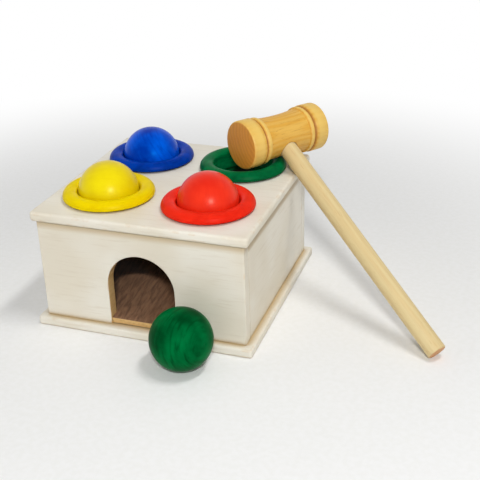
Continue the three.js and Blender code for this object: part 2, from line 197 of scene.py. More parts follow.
def seen_rays(tree):
    """1 for what is seen directly, in a reflection or through glass, 0 for light between surfaces."""
    rays = tree.nodes.new("ShaderNodeLightPath")
    seen = rays.outputs["Is Camera Ray"]
    for kind in ("Is Glossy Ray", "Is Transmission Ray"):
        either = tree.nodes.new("ShaderNodeMath")
        either.operation = "MAXIMUM"
        tree.links.new(seen, either.inputs[0])
        tree.links.new(rays.outputs[kind], either.inputs[1])
        seen = either.outputs[0]
    return seen


class Look:
    """A material under construction, with short names for the nodes that the materials share."""

    def __init__(self, name):
        self.material = bpy.data.materials.new(name)
        self.material.use_nodes = True
        self.tree = self.material.node_tree
        self.surface = self.tree.nodes["Principled BSDF"]

    def node(self, kind, **settings):
        made = self.tree.nodes.new(kind)
        for name, value in settings.items():
            setattr(made, name, value)
        return made

    def join(self, source, target):
        self.tree.links.new(source, target)

    def place(self, stretch=(1, 1, 1), shift=(0, 0, 0), source="Object"):
        """Coordinates of the piece itself, or its normals, multiplied by stretch."""
        where = self.node("ShaderNodeTexCoord")
        mapping = self.node("ShaderNodeMapping")
        mapping.inputs["Scale"].default_value = stretch
        mapping.inputs["Location"].default_value = shift
        self.join(where.outputs[source], mapping.inputs["Vector"])
        return mapping.outputs["Vector"]

    def along_z(self, source):
        """The Z part of the piece's own coordinates or normals."""
        parts = self.node("ShaderNodeSeparateXYZ")
        self.join(self.place(source=source), parts.inputs["Vector"])
        return parts.outputs["Z"]

    def noise(self, stretch, detail=3.0, roughness=0.5, distortion=0.0):
        texture = self.node("ShaderNodeTexNoise")
        texture.inputs["Scale"].default_value = 1.0
        texture.inputs["Detail"].default_value = detail
        texture.inputs["Roughness"].default_value = roughness
        texture.inputs["Distortion"].default_value = distortion
        self.join(self.place(stretch), texture.inputs["Vector"])
        return texture.outputs[0]

    def fade(self, value, low, high, below=0.0, above=1.0):
        """Goes smoothly from one amount, where value is below low, to another, where it is above high."""
        spread = self.node("ShaderNodeMapRange", interpolation_type="SMOOTHSTEP")
        spread.inputs["From Min"].default_value = low
        spread.inputs["From Max"].default_value = high
        spread.inputs["To Min"].default_value = below
        spread.inputs["To Max"].default_value = above
        self.join(value, spread.inputs["Value"])
        return spread.outputs["Result"]

    def span(self, value, low, high):
        """Value from 0 to 1 spread from low to high."""
        spread = self.node("ShaderNodeMapRange")
        spread.inputs["To Min"].default_value = low
        spread.inputs["To Max"].default_value = high
        self.join(value, spread.inputs["Value"])
        return spread.outputs["Result"]

    def maths(self, operation, first, second=0.0):
        made = self.node("ShaderNodeMath", operation=operation)
        for socket, value in zip(made.inputs, (first, second)):
            if isinstance(value, (int, float)):
                socket.default_value = value
            else:
                self.join(value, socket)
        return made.outputs[0]

    def mix(self, share, first, second):
        """Colour that goes from first to second as share goes from 0 to 1."""
        made = self.node("ShaderNodeMix", data_type="RGBA")
        for index, value in ((MIX_SHARE, share), (MIX_FIRST, first), (MIX_SECOND, second)):
            if isinstance(value, tuple):
                made.inputs[index].default_value = value
            else:
                self.join(value, made.inputs[index])
        return made.outputs[MIX_RESULT]

    def painted(self, name):
        """A value that the mesh carries at its points."""
        return self.node("ShaderNodeAttribute", attribute_name=name).outputs["Fac"]

    def crevice(self, reach):
        """0 in the open, towards 1 in an inside corner."""
        made = self.node("ShaderNodeAmbientOcclusion", samples=CREVICE_SAMPLES)
        made.inputs["Distance"].default_value = reach
        return self.maths("SUBTRACT", 1.0, made.outputs["AO"])

    def facing_z(self):
        """1 on faces square to the piece's own Z, 0 on those along it."""
        return self.maths("ABSOLUTE", self.along_z("Normal"))

    def level(self):
        """1 on level faces, 0 on those that stand upright."""
        return self.fade(self.facing_z(), 0.3, 0.8)

    def fade_to_white(self, near, far):
        """Where it is seen, the surface turns white between those distances from its middle."""
        away = self.node("ShaderNodeVectorMath", operation="LENGTH")
        self.join(self.place(), away.inputs[0])
        share = self.maths("MULTIPLY", self.fade(away.outputs["Value"], near, far), seen_rays(self.tree))
        white = self.node("ShaderNodeEmission")
        both = self.node("ShaderNodeMixShader")
        self.join(share, both.inputs[0])
        self.join(self.surface.outputs["BSDF"], both.inputs[1])
        self.join(white.outputs["Emission"], both.inputs[2])
        self.join(both.outputs["Shader"], self.tree.nodes["Material Output"].inputs["Surface"])

    def colour(self, socket):
        self.join(socket, self.surface.inputs["Base Color"])

    def roughness(self, value, low, high):
        self.join(self.span(value, low, high), self.surface.inputs["Roughness"])

    def bump(self, *layers):
        """Layers of (height, depth in metres)."""
        normal = None
        for height, depth in layers:
            made = self.node("ShaderNodeBump")
            made.inputs["Distance"].default_value = depth
            self.join(height, made.inputs["Height"])
            if normal is not None:
                self.join(normal, made.inputs["Normal"])
            normal = made.outputs["Normal"]
        self.join(normal, self.surface.inputs["Normal"])


def whitewash(name, grain, painted_shadow_heights=None, ledge=False):
    """Cream paint over wood: the grain shows through and edges are rubbed to the wood. Inside corners carry
    painted shade, partly joint stain. A wall has a painted shadow line under the board that stands out
    above it, which fades in between two heights. A ledge carries painted shade, partly joint stain, on its
    level faces next to what stands on it."""
    look = Look(name)
    fibres = look.noise(grain, detail=5.0, roughness=0.6, distortion=0.2)
    clouds = look.noise((24, 24, 24), detail=2.0)
    speckle = look.noise((900, 900, 900), detail=2.0)
    paint = look.mix(look.fade(clouds, 0.35, 0.7), srgb(230, 225, 212), srgb(222, 214, 196))
    paint = look.mix(look.fade(fibres, 0.5, 0.72, above=0.35), paint, srgb(206, 194, 172))
    shade_and_stain = None
    if painted_shadow_heights:
        # painted shade, partly joint stain: tan darkening in the walls' inside corners
        corner_shade_and_stain = look.fade(look.crevice(WALL_SHADE_AND_STAIN), 0.15, 0.6)
        # painted shadow: a tan band on the walls just under the top board's overhang
        line = look.fade(look.along_z("Object"), *painted_shadow_heights, above=0.7)
        upright = look.maths("SUBTRACT", 1.0, look.level())
        shade_and_stain = look.maths("MULTIPLY", look.maths("MAXIMUM", corner_shade_and_stain, line), upright)
    elif ledge:
        # painted shade, partly joint stain: tan darkening on the base's level faces next to the walls
        corner_shade_and_stain = look.fade(look.crevice(LEDGE_SHADE_AND_STAIN), 0.1, 0.5)
        shade_and_stain = look.maths("MULTIPLY", corner_shade_and_stain, look.level())
    if shade_and_stain is not None:
        # tan colour of the painted shade and painted shadow, partly joint stain
        paint = look.mix(shade_and_stain, paint, srgb(190, 166, 124))
    rub = look.maths("MULTIPLY", look.painted("wear"), look.noise((140, 140, 140), detail=4.0))
    paint = look.mix(look.fade(rub, 0.5, 0.7, above=0.4), paint, srgb(212, 182, 142))
    look.colour(paint)
    look.roughness(clouds, 0.42, 0.58)
    look.surface.inputs["Specular IOR Level"].default_value = 0.4
    look.bump((fibres, 0.00012), (speckle, 0.00003))
    return look.material


def bare_wood(name, grain, light, dark):
    """Plain unfinished board."""
    look = Look(name)
    fibres = look.noise(grain, detail=6.0, roughness=0.65, distortion=0.4)
    clouds = look.noise((30, 30, 30), detail=2.0)
    tone = look.mix(look.fade(fibres, 0.35, 0.68), light, dark)
    tone = look.mix(look.fade(clouds, 0.4, 0.7, above=0.4), tone, dark)
    look.colour(tone)
    look.roughness(fibres, 0.6, 0.85)
    look.bump((fibres, 0.0002))
    return look.material


def gloss_paint(name, colour, deep, streaks, shine, glint):
    """Gloss paint on a wooden ball: faint turning lines and grain under the coat."""
    look = Look(name)
    grain = look.noise((60, 60, 420), detail=4.0, roughness=0.55, distortion=0.3)
    clouds = look.noise((55, 55, 55), detail=3.0)
    peel = look.noise((700, 700, 700), detail=1.0)
    tone = look.mix(look.fade(clouds, 0.3, 0.75), colour, deep)
    tone = look.mix(look.fade(grain, 0.45, 0.7, above=streaks), tone, deep)
    look.colour(tone)
    look.roughness(clouds, 0.26, 0.38)
    look.surface.inputs["Specular IOR Level"].default_value = shine
    look.surface.inputs["Specular Tint"].default_value = glint
    look.bump((grain, 0.00005), (peel, 0.000015))
    return look.material


def soft_plastic(name, colour, deep):
    """Moulded soft plastic with flow marks, and painted shade that darkens its creases."""
    look = Look(name)
    flow = look.noise((70, 70, 160), detail=3.0, distortion=1.2)
    fine = look.noise((1100, 1100, 1100), detail=2.0)
    tone = look.mix(look.fade(flow, 0.35, 0.75, above=0.6), colour, deep)
    # painted shade: the darker tone mixed in where the collar's creases are occluded
    tone = look.mix(look.fade(look.crevice(COLLAR_SHADE), 0.35, 0.95, above=0.2), tone, deep)
    look.colour(tone)
    look.roughness(flow, 0.26, 0.4)
    look.surface.inputs["Specular IOR Level"].default_value = 0.03
    look.surface.inputs["Subsurface Weight"].default_value = 0.4
    look.surface.inputs["Subsurface Radius"].default_value = (1.0, 1.0, 1.0)
    look.surface.inputs["Subsurface Scale"].default_value = 0.002
    look.bump((flow, 0.00008), (fine, 0.00002))
    return look.material


def turned_wood(name, pale, gold, brown, end, gloss):
    """Turned wood with its grain along the piece's own Z: growth rings, fibres, pores, end grain."""
    look = Look(name)
    wave = look.node("ShaderNodeTexWave", wave_type="RINGS", rings_direction="Z")
    wave.inputs["Scale"].default_value = 1.0
    wave.inputs["Distortion"].default_value = 5.0
    wave.inputs["Detail"].default_value = 3.0
    wave.inputs["Detail Scale"].default_value = 1.2
    look.join(look.place((95, 95, 9), shift=(1.9, 1.1, 0)), wave.inputs["Vector"])
    rings = wave.outputs["Fac"]
    fibres = look.noise((1000, 1000, 45), detail=4.0, roughness=0.6)
    pores = look.noise((1500, 1500, 120), detail=2.0)
    clouds = look.noise((60, 60, 25), detail=3.0)
    tone = look.mix(look.fade(rings, 0.1, 0.95, below=0.5, above=0.85), pale, gold)
    tone = look.mix(look.fade(clouds, 0.4, 0.75, above=0.55), tone, gold)
    tone = look.mix(look.fade(fibres, 0.45, 0.8, above=0.3), tone, brown)
    tone = look.mix(look.fade(pores, 0.62, 0.72, above=0.45), tone, brown)
    band = look.painted("tone")
    tone = look.mix(look.fade(band, PLAIN_TONE, BAND_TONE, above=0.85), tone, pale)
    tone = look.mix(look.fade(band, GROOVE_TONE, PLAIN_TONE, below=0.9, above=0.0), tone, brown)
    rough_end = look.mix(look.span(rings, 0.0, 0.3), end, brown)
    look.colour(look.mix(look.fade(look.facing_z(), 0.75, 0.95, above=0.85), tone, rough_end))
    look.roughness(fibres, gloss, gloss + 0.2)
    look.bump((fibres, 0.0001), (rings, 0.00006))
    return look.material


def plated_steel(name):
    """Zinc-plated screw: slightly blue blotches on the plating."""
    look = Look(name)
    blotch = look.noise((700, 700, 700), detail=3.0)
    look.colour(look.mix(look.fade(blotch, 0.35, 0.7), srgb(176, 178, 182), srgb(148, 152, 160)))
    look.roughness(blotch, 0.25, 0.45)
    look.surface.inputs["Metallic"].default_value = 1.0
    look.bump((blotch, 0.00003))
    return look.material


# Mesh helpers


def finished(bm, name, *looks):
    """A mesh from a bmesh, smooth but for its sharp edges. Its faces have the first of the looks."""
    bmesh.ops.recalc_face_normals(bm, faces=bm.faces)
    mesh = bpy.data.meshes.new(name)
    bm.to_mesh(mesh)
    bm.free()
    mesh.polygons.foreach_set("use_smooth", [True] * len(mesh.polygons))
    mesh.set_sharp_from_angle(angle=SMOOTH_ANGLE)
    for look in looks:
        mesh.materials.append(look)
    return mesh


def use_look(mesh, look, test):
    """Gives one of the mesh's looks to the faces whose middle and normal pass the test."""
    index = list(mesh.materials).index(look)
    for face in mesh.polygons:
        if test(face.center, face.normal):
            face.material_index = index


def piece(name, mesh, body, stands_for, place=None):
    """A piece of the object that stands for a solid and moves with its body."""
    made = bpy.data.objects.new(name, mesh)
    scene.collection.objects.link(made)
    if place is not None:
        made.matrix_world = place
    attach(made, body)
    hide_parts(stands_for)
    return made


def middle_of(node):
    low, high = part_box(node)
    return (low + high) / 2


def strip(bm, loops, closed=False):
    """Quads between neighbouring loops of equal length."""
    pairs = list(zip(loops, loops[1:]))
    if closed:
        pairs.append((loops[-1], loops[0]))
    for first, second in pairs:
        count = len(first)
        for i in range(count):
            j = (i + 1) % count
            bm.faces.new((first[i], first[j], second[j], second[i]))


def cap(bm, loop, rims):
    """Closes a loop, round any rims inside it."""
    if not rims:
        bm.faces.new(loop)
        return
    edges = []
    for ring in [loop, *rims]:
        for i, vert in enumerate(ring):
            following = ring[(i + 1) % len(ring)]
            edges.append(bm.edges.get((vert, following)) or bm.edges.new((vert, following)))
    bmesh.ops.triangle_fill(bm, use_beauty=True, edges=edges)


def circle(radius):
    """Points round a circle, or the one point of its middle if it has no radius."""
    count = RING_STEPS if radius > 0 else 1
    angles = [2 * math.pi * step / RING_STEPS for step in range(count)]
    return [(radius * math.cos(angle), radius * math.sin(angle)) for angle in angles]


def quarter_round(radius):
    """A rounded edge as points of (distance from the side, distance from the face), from face to side."""
    angles = [math.pi / 2 * step / EASE_STEPS for step in range(EASE_STEPS + 1)]
    return [(radius * (1 - math.sin(angle)), radius * (1 - math.cos(angle))) for angle in angles]


def eased_layers(thickness, radius):
    """Layers of (inset, height, wear) through a board with rounded edges."""
    fade = min(WEAR_FADE, (thickness - 2 * radius) * WEAR_SHARE)
    lower = [(radius + WEAR_FADE, 0.0, 0.0)]
    lower += [(inset, height, 1.0) for inset, height in quarter_round(radius)]
    lower.append((0.0, radius + fade, 0.0))
    upper = [(inset, thickness - height, wear) for inset, height, wear in reversed(lower)]
    return lower + upper


def board(outline, thickness, radius, to_frame, holes=()):
    """A closed board: outline(inset) is its loop of points, to_frame takes (u, v, height) to the frame.
    Holes are (u, v, radius)."""
    bm = bmesh.new()
    wear = bm.verts.layers.float.new("wear")
    loops = []
    for inset, height, worn in eased_layers(thickness, radius):
        loop = []
        for u, v in outline(inset):
            vert = bm.verts.new(to_frame(u, v, height))
            vert[wear] = worn
            loop.append(vert)
        loops.append(loop)
    strip(bm, loops)
    rims = {"bottom": [], "top": []}
    for u, v, hole_radius in holes:
        low, high = [], []
        for across, along in circle(hole_radius):
            low.append(bm.verts.new(to_frame(u + across, v + along, 0.0)))
            high.append(bm.verts.new(to_frame(u + across, v + along, thickness)))
        strip(bm, [low, high])
        rims["bottom"].append(low)
        rims["top"].append(high)
    cap(bm, loops[0], rims["bottom"])
    cap(bm, loops[-1], rims["top"])
    return bm


def rounded_square(half, corner):
    def outline(inset):
        reach = half - inset
        radius = max(corner - inset, LEAST_CORNER)
        points = []
        for quarter in range(4):
            middle = math.pi / 2 * quarter + math.pi / 4
            centre_u = math.copysign(reach - radius, math.cos(middle))
            centre_v = math.copysign(reach - radius, math.sin(middle))
            for step in range(CORNER_STEPS + 1):
                angle = math.pi / 2 * (quarter + step / CORNER_STEPS)
                points.append((centre_u + radius * math.cos(angle), centre_v + radius * math.sin(angle)))
        return points
    return outline


def rectangle(low_u, low_v, high_u, high_v):
    def outline(inset):
        return [
            (low_u + inset, low_v + inset),
            (high_u - inset, low_v + inset),
            (high_u - inset, high_v - inset),
            (low_u + inset, high_v - inset),
        ]
    return outline


def arched_wall(low_u, low_v, high_u, high_v):
    spring = low_v + ARCH_HEIGHT - ARCH_RADIUS
    def outline(inset):
        radius = ARCH_RADIUS + inset
        points = [(low_u + inset, low_v + inset), (-radius, low_v + inset)]
        for step in range(ARCH_STEPS + 1):
            angle = math.pi * (1 - step / ARCH_STEPS)
            points.append((radius * math.cos(angle), spring + radius * math.sin(angle)))
        points.append((radius, low_v + inset))
        points.append((high_u - inset, low_v + inset))
        points.append((high_u - inset, high_v - inset))
        points.append((low_u + inset, high_v - inset))
        return points
    return outline


def turned(profile, tones=None, closed=False):
    """A profile of (radius, height) turned about Z. tones are carried at the points for the material."""
    bm = bmesh.new()
    tone = bm.verts.layers.float.new("tone")
    loops = []
    for index, (radius, height) in enumerate(profile):
        loop = []
        for x, y in circle(radius):
            vert = bm.verts.new((x, y, height))
            vert[tone] = tones[index] if tones else PLAIN_TONE
            loop.append(vert)
        loops.append(loop)
    if closed:
        strip(bm, loops, closed=True)
        return bm
    for first, second in zip(loops, loops[1:]):
        if len(first) == len(second):
            strip(bm, [first, second])
        else:
            tip, ring = (first[0], second) if len(first) == 1 else (second[0], first)
            for i, vert in enumerate(ring):
                bm.faces.new((tip, vert, ring[(i + 1) % len(ring)]))
    return bm


def cylinder(radius, low, high):
    return turned([(0.0, low), (radius, low), (radius, high), (0.0, high)])


def carved(mesh, *tools):
    """The mesh with the tool meshes cut out of it."""
    block = bpy.data.objects.new("block", mesh)
    scene.collection.objects.link(block)
    helpers = []
    for tool in tools:
        helper = bpy.data.objects.new("tool", tool)
        scene.collection.objects.link(helper)
        helpers.append(helper)
        modifier = block.modifiers.new("cut", "BOOLEAN")
        modifier.object = helper
        modifier.operation = "DIFFERENCE"
        modifier.solver = "EXACT"
    graph = bpy.context.evaluated_depsgraph_get()
    result = bpy.data.meshes.new_from_object(block.evaluated_get(graph))
    result.set_sharp_from_angle(angle=SMOOTH_ANGLE)
    for helper in [block, *helpers]:
        bpy.data.objects.remove(helper)
    return result


# Materials

wall_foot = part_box("front_panel")[0].z
wall_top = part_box("front_panel")[1].z
along_x = (45, 520, 520)
along_y = (520, 45, 520)
along_z = (500, 500, 60)
PAINT = whitewash("whitewash_top", along_x)
PAINT_BASE = whitewash("whitewash_base", along_x, ledge=True)
PAINT_X = whitewash("whitewash_x", along_x, [wall_top - drop for drop in FRONT_PAINTED_SHADOW])
PAINT_Y = whitewash("whitewash_y", along_y, [wall_top - drop for drop in SIDE_PAINTED_SHADOW])
# bare wood inside the box, its brown made very dark as painted shade for the box's dark inside
INSIDE_SHADED = bare_wood("inside_board_painted_shade", along_x, srgb(72, 54, 42), srgb(50, 37, 29))
RUN = bare_wood("run_board", along_y, srgb(150, 113, 85), srgb(106, 77, 57))
JAMB = bare_wood("jamb_wood", along_y, srgb(224, 186, 126), srgb(204, 163, 102))
DOWEL = bare_wood("dowel_rod", along_z, srgb(214, 184, 140), srgb(180, 144, 100))
STEEL = plated_steel("screw_steel")
MALLET = turned_wood(
    "mallet_head",
    pale=srgb(226, 190, 100),
    gold=srgb(214, 156, 44),
    brown=srgb(166, 106, 34),
    end=srgb(208, 138, 44),
    gloss=0.42,
)
HANDLE = turned_wood(
    "mallet_handle",
    pale=srgb(220, 204, 156),
    gold=srgb(210, 185, 132),
    brown=srgb(186, 150, 98),
    end=srgb(208, 142, 88),
    gloss=0.5,
)
BALL_LOOKS = {
    "yellow": gloss_paint(
        "paint_yellow", srgb(233, 213, 8), srgb(222, 197, 2),
        streaks=0.4, shine=0.2, glint=srgb(255, 250, 190),
    ),
    "red": gloss_paint(
        "paint_red", srgb(234, 52, 26), srgb(220, 36, 16),
        streaks=0.4, shine=0.22, glint=srgb(255, 215, 195),
    ),
    "blue": gloss_paint(
        "paint_blue", srgb(0, 92, 222), srgb(0, 46, 156),
        streaks=0.5, shine=0.14, glint=srgb(30, 170, 255),
    ),
    "green": gloss_paint(
        "paint_green", srgb(0, 108, 54), srgb(0, 60, 26),
        streaks=0.8, shine=0.02, glint=srgb(60, 200, 130),
    ),
}
COLLAR_LOOKS = {
    "yellow": soft_plastic("plastic_yellow", srgb(232, 206, 3), srgb(217, 187, 0)),
    "red": soft_plastic("plastic_red", srgb(233, 44, 23), srgb(208, 28, 14)),
    "blue": soft_plastic("plastic_blue", srgb(0, 59, 166), srgb(0, 30, 108)),
    "green": soft_plastic("plastic_green", srgb(0, 106, 56), srgb(0, 60, 32)),
}

# Boards


def flat_board(node, paint, edge, corner, holes=()):
    low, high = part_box(node)
    outline = rounded_square((high.x - low.x) / 2, corner)
    bm = board(outline, high.z - low.z, edge, lambda u, v, height: (u, v, low.z + height), holes)
    return finished(bm, node, paint, INSIDE_SHADED)


def sink_mesh(screw):
    """Cutter for the sink round a screw's head."""
    middle = middle_of(screw)
    sink = cylinder(SINK_RADIUS, SINK_START, SINK_DEPTH)
    bmesh.ops.translate(sink, vec=(middle.x, middle.y, 0), verts=sink.verts)
    return finished(sink, "sink", INSIDE_SHADED)


def in_the_box(point, normal):
    """True for the face of a board that looks into the box."""
    inwards = normal.dot(Vector((0, 0, BENCH_MIDDLE)) - point)
    return inwards > INSIDE_REACH and max(abs(value) for value in normal) > SQUARE_ON


def in_the_arch(point, normal):
    """True for the thickness of the front wall round the arch."""
    below_crown = point.z < wall_foot + ARCH_HEIGHT + ARCH_MARGIN
    return abs(point.x) < ARCH_RADIUS + ARCH_MARGIN and below_crown and abs(normal.y) < EDGE_ON


collar_middles = {colour: middle_of("collar_" + colour) for colour in COLOURS}
holes = [(middle.x, middle.y, HOLE_RADIUS) for middle in collar_middles.values()]
plate = flat_board("top_plate", PAINT, PLATE_EDGE, PLATE_CORNER, holes)
use_look(plate, INSIDE_SHADED, in_the_box)
piece("top_plate_painted", plate, "bench", "top_plate")

base = flat_board("base_plate", PAINT_BASE, BASE_EDGE, BASE_CORNER)
base = carved(base, *[sink_mesh(screw) for screw in SCREWS])
piece("base_plate_painted", base, "bench", "base_plate")

for node in ("front_panel", "back_panel"):
    low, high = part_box(node)
    shape = arched_wall if node == "front_panel" else rectangle
    outline = shape(low.x, low.z, high.x, high.z)
    bm = board(outline, WALL, WALL_EDGE, lambda u, v, height: (u, low.y + height, v))
    wall = finished(bm, node, PAINT_X, INSIDE_SHADED, JAMB)
    use_look(wall, INSIDE_SHADED, in_the_box)
    if node == "front_panel":
        use_look(wall, JAMB, in_the_arch)
    piece(node + "_painted", wall, "bench", node)

for node in ("left_panel", "right_panel"):
    low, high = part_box(node)
    outline = rectangle(low.y, low.z, high.y, high.z)
    bm = board(outline, WALL, WALL_EDGE, lambda u, v, height: (low.x + height, u, v))
    wall = finished(bm, node, PAINT_Y, INSIDE_SHADED)
    use_look(wall, INSIDE_SHADED, in_the_box)
    piece(node + "_painted", wall, "bench", node)

# Ball run

run_low, run_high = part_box("ramp_board")


def run_outline(inset):
    """The run seen from above its slope: a wide board with a tongue that lies in the arch."""
    half = run_high.x - inset
    tongue = ARCH_RADIUS - FIT - inset
    front = RAMP_THICKNESS * math.sin(RAMP_ANGLE) + inset
    shoulder = (-WALL_INSIDE + FIT - run_low.y) / math.cos(RAMP_ANGLE) + front
    back = (run_high.y - run_low.y) / math.cos(RAMP_ANGLE) - inset
    right_side = [(tongue, front), (tongue, shoulder), (half, shoulder), (half, back)]
    return right_side + [(-u, v) for u, v in reversed(right_side)]


def on_slope(u, v, height):
    along = math.cos(RAMP_ANGLE) * v - math.sin(RAMP_ANGLE) * height
    lift = math.sin(RAMP_ANGLE) * v + math.cos(RAMP_ANGLE) * height
    return (u, run_low.y + along, run_low.z + lift)


def on_the_tongue(point, normal):
    """True for the front end of the run."""
    return normal.y < -FRONT_ON and point.y < run_low.y + RAMP_THICKNESS / 2


def plain_look(name):
    """The look of a solid that shows as it is."""
    if name.startswith(("ramp_rail", "guide_")):
        return RUN
    if "dowel" in name:
        return DOWEL
    return None


run = finished(board(run_outline, RAMP_THICKNESS, RAMP_EDGE, on_slope), "ramp_board", RUN, JAMB)
use_look(run, JAMB, on_the_tongue)
piece("ramp_board_worn", run, "bench", "ramp_board")

for name, solid in nodes.items():
    look = plain_look(name)
    if look is not None:
        solid.data.materials.clear()
        solid.data.materials.append(look)

# Screws under the base


def screw_mesh(length):
    """A countersunk screw with a cross recess, point up."""
    profile = [
        (0.0, 0.0),
        (SCREW_HEAD_RADIUS - SCREW_RIM, 0.0),
        (SCREW_HEAD_RADIUS, SCREW_RIM),
        (SCREW_RADIUS, SCREW_HEAD_HEIGHT),
        (SCREW_RADIUS, length - SCREW_POINT),
        (0.0, length),
    ]
    tools = []
    for turn in (0, math.pi / 2):
        bm = bmesh.new()
        bmesh.ops.create_cube(bm, size=1.0)
        bmesh.ops.scale(bm, vec=(CROSS_LENGTH, CROSS_WIDTH, CROSS_HEIGHT), verts=bm.verts)
        bmesh.ops.rotate(bm, cent=(0, 0, 0), matrix=Matrix.Rotation(turn, 3, "Z"), verts=bm.verts)
        tools.append(finished(bm, "cross", STEEL))
    return carved(finished(turned(profile), "screw", STEEL), *tools)


for node in SCREWS:
    low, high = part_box(node)
    place = Matrix.Translation(((low.x + high.x) / 2, (low.y + high.y) / 2, low.z))
    piece(node + "_cross", screw_mesh(high.z - low.z), "bench", node, place)

# Collars


def collar_profile():
    """Outline in (radius, height above the top plate): foot, brim, lip, sleeve."""
    crest = (COLLAR_RADIUS + THROAT_RADIUS) / 2
    half_width = (COLLAR_RADIUS - THROAT_RADIUS) / 2
    edge_top = BRIM_LIFT + BRIM_EDGE
    points = [(COLLAR_FOOT, 0.0), (COLLAR_FOOT, BRIM_LIFT)]
    points += [(COLLAR_RADIUS - inset, BRIM_LIFT + rise) for inset, rise in quarter_round(BRIM_EDGE)[:-1]]
    for step in range(BRIM_STEPS + 1):
        angle = math.pi * step / BRIM_STEPS
        drop = BRIM_HEIGHT - edge_top if step < BRIM_STEPS / 2 else FUNNEL_DEPTH
        points.append((crest + half_width * math.cos(angle), BRIM_HEIGHT - drop * (1 - math.sin(angle))))
    bead_top = -PLATE_THICKNESS - FIT
    points += [
        (THROAT_RADIUS, -THROAT_DEPTH),
        (THROAT_RADIUS - LIP_EASE_WIDTH, -THROAT_DEPTH - LIP_EASE_DEPTH),
        (LIP_RADIUS + LIP_EASE_WIDTH, -LIP_DEPTH + LIP_EASE_DEPTH),
        (LIP_RADIUS, -LIP_DEPTH),
        (LIP_RADIUS, -LIP_DEPTH - LIP_THICKNESS / 2),
        (SLEEVE_INSIDE, -LIP_DEPTH - LIP_THICKNESS),
        (SLEEVE_INSIDE, -SLEEVE_LENGTH),
        (SLEEVE_RADIUS, -SLEEVE_LENGTH),
        (SLEEVE_RADIUS + SNAP_BEAD, bead_top - SNAP_BEAD),
        (SLEEVE_RADIUS, bead_top),
        (SLEEVE_RADIUS, 0.0),
    ]
    return points


plate_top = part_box("top_plate")[1].z
for colour, middle in collar_middles.items():
    mesh = finished(turned(collar_profile(), closed=True), "collar_" + colour, COLLAR_LOOKS[colour])
    place = Matrix.Translation((middle.x, middle.y, plate_top))
    piece(f"collar_{colour}_soft", mesh, "bench", "collar_" + colour, place)

# Balls


def ball_mesh(look):
    """A turned ball: a true sphere with a small flat and a centre prick at each end of its turning axis."""
    steps = RING_STEPS // 2
    heights = [-math.cos(BALL_FLAT + (math.pi - 2 * BALL_FLAT) * i / steps) for i in range(steps + 1)]
    rim = heights[-1] * BALL_RADIUS
    profile = [(radius, depth - rim) for radius, depth in reversed(BALL_PRICK)]
    for share in heights:
        profile.append((BALL_RADIUS * math.sqrt(1 - share * share), BALL_RADIUS * share))
    profile += [(radius, rim - depth) for radius, depth in BALL_PRICK]
    return finished(turned(profile), "ball", look)


for colour in COLOURS:
    tilt, turn = (math.radians(angle) for angle in BALL_TILTS[colour])
    turned_to = Matrix.Rotation(turn, 4, "Z") @ Matrix.Rotation(tilt, 4, "X")
    place = Matrix.Translation(middle_of("ball_" + colour)) @ turned_to
    mesh = ball_mesh(BALL_LOOKS[colour])
    piece(f"ball_{colour}_gloss", mesh, colour + "_ball", "ball_" + colour, place)

# Mallet


def axis_of(node):
    """The two ends of a long node's middle line, the lower one first."""
    points = np.array([vert.co for vert in nodes[node].data.vertices])
    middle = points.mean(axis=0)
    direction = np.linalg.svd(points - middle, full_matrices=False)[2][0]
    along = (points - middle) @ direction
    ends = [Vector(middle + direction * reach) for reach in (along.min(), along.max())]
    return sorted(ends, key=lambda end: end.z)


def head_profile():
    """Half outline of the head in (radius, along, tone), from the end face to the middle of the waist."""
    half = HEAD_LENGTH / 2
    band_end = half - BARREL_LENGTH
    groove = band_end - GROOVE_WIDTH / 2
    bead_start = band_end - GROOVE_WIDTH
    waist_start = bead_start - BEAD_WIDTH
    bead_end = waist_start + BEAD_DROP
    bead = HEAD_RADIUS - BEAD_DROP
    shoulder = HEAD_RADIUS - GROOVE_DEPTH
    outline = [(0.0, half, PLAIN_TONE), (HEAD_RADIUS - HEAD_CHAMFER, half, PLAIN_TONE)]
    for inset, drop in quarter_round(HEAD_CHAMFER)[1:]:
        outline.append((HEAD_RADIUS - inset, half - drop, CHAMFER_TONE))
    outline += [
        (HEAD_RADIUS, band_end + BAND_FADE, BAND_TONE),
        (HEAD_RADIUS, band_end + BAND_EDGE, BAND_EDGE_TONE),
        (HEAD_RADIUS - TURNED_EASE, band_end, GROOVE_EDGE_TONE),
        (shoulder + TURNED_EASE, groove + TURNED_EASE, GROOVE_TONE),
        (shoulder, groove, GROOVE_TONE),
        (shoulder + TURNED_EASE, groove - TURNED_EASE, GROOVE_TONE),
        (bead - TURNED_EASE, bead_start + BEAD_EDGE, BAND_EDGE_TONE),
        (bead, bead_start - BEAD_EASE, BAND_TONE),
        (bead, bead_end + BEAD_EASE, BAND_TONE),
        (bead - TURNED_EASE, bead_end, BAND_EDGE_TONE),
    ]
    for step in range(WAIST_STEPS + 1):
        along = waist_start * (1 - step / WAIST_STEPS)
        swell = (along / waist_start) ** 2
        outline.append((HEAD_WAIST + (shoulder - HEAD_WAIST) * swell, along, WAIST_TONE))
    return outline


def head_mesh():
    """The head turned about Z, with a bore for the handle from below."""
    half = head_profile()
    whole = half + [(radius, -along, tone) for radius, along, tone in reversed(half[:-1])]
    solid = turned([point[:2] for point in whole], [point[2] for point in whole])
    bore = cylinder(HANDLE_RADIUS + FIT, 0.0, BORE_LENGTH)
    bmesh.ops.rotate(bore, cent=(0, 0, 0), matrix=Matrix.Rotation(math.pi / 2, 3, "X"), verts=bore.verts)
    bmesh.ops.translate(bore, vec=(0, HANDLE_PAST_AXIS + FIT, 0), verts=bore.verts)
    return carved(finished(solid, "head", MALLET), finished(bore, "bore", MALLET))


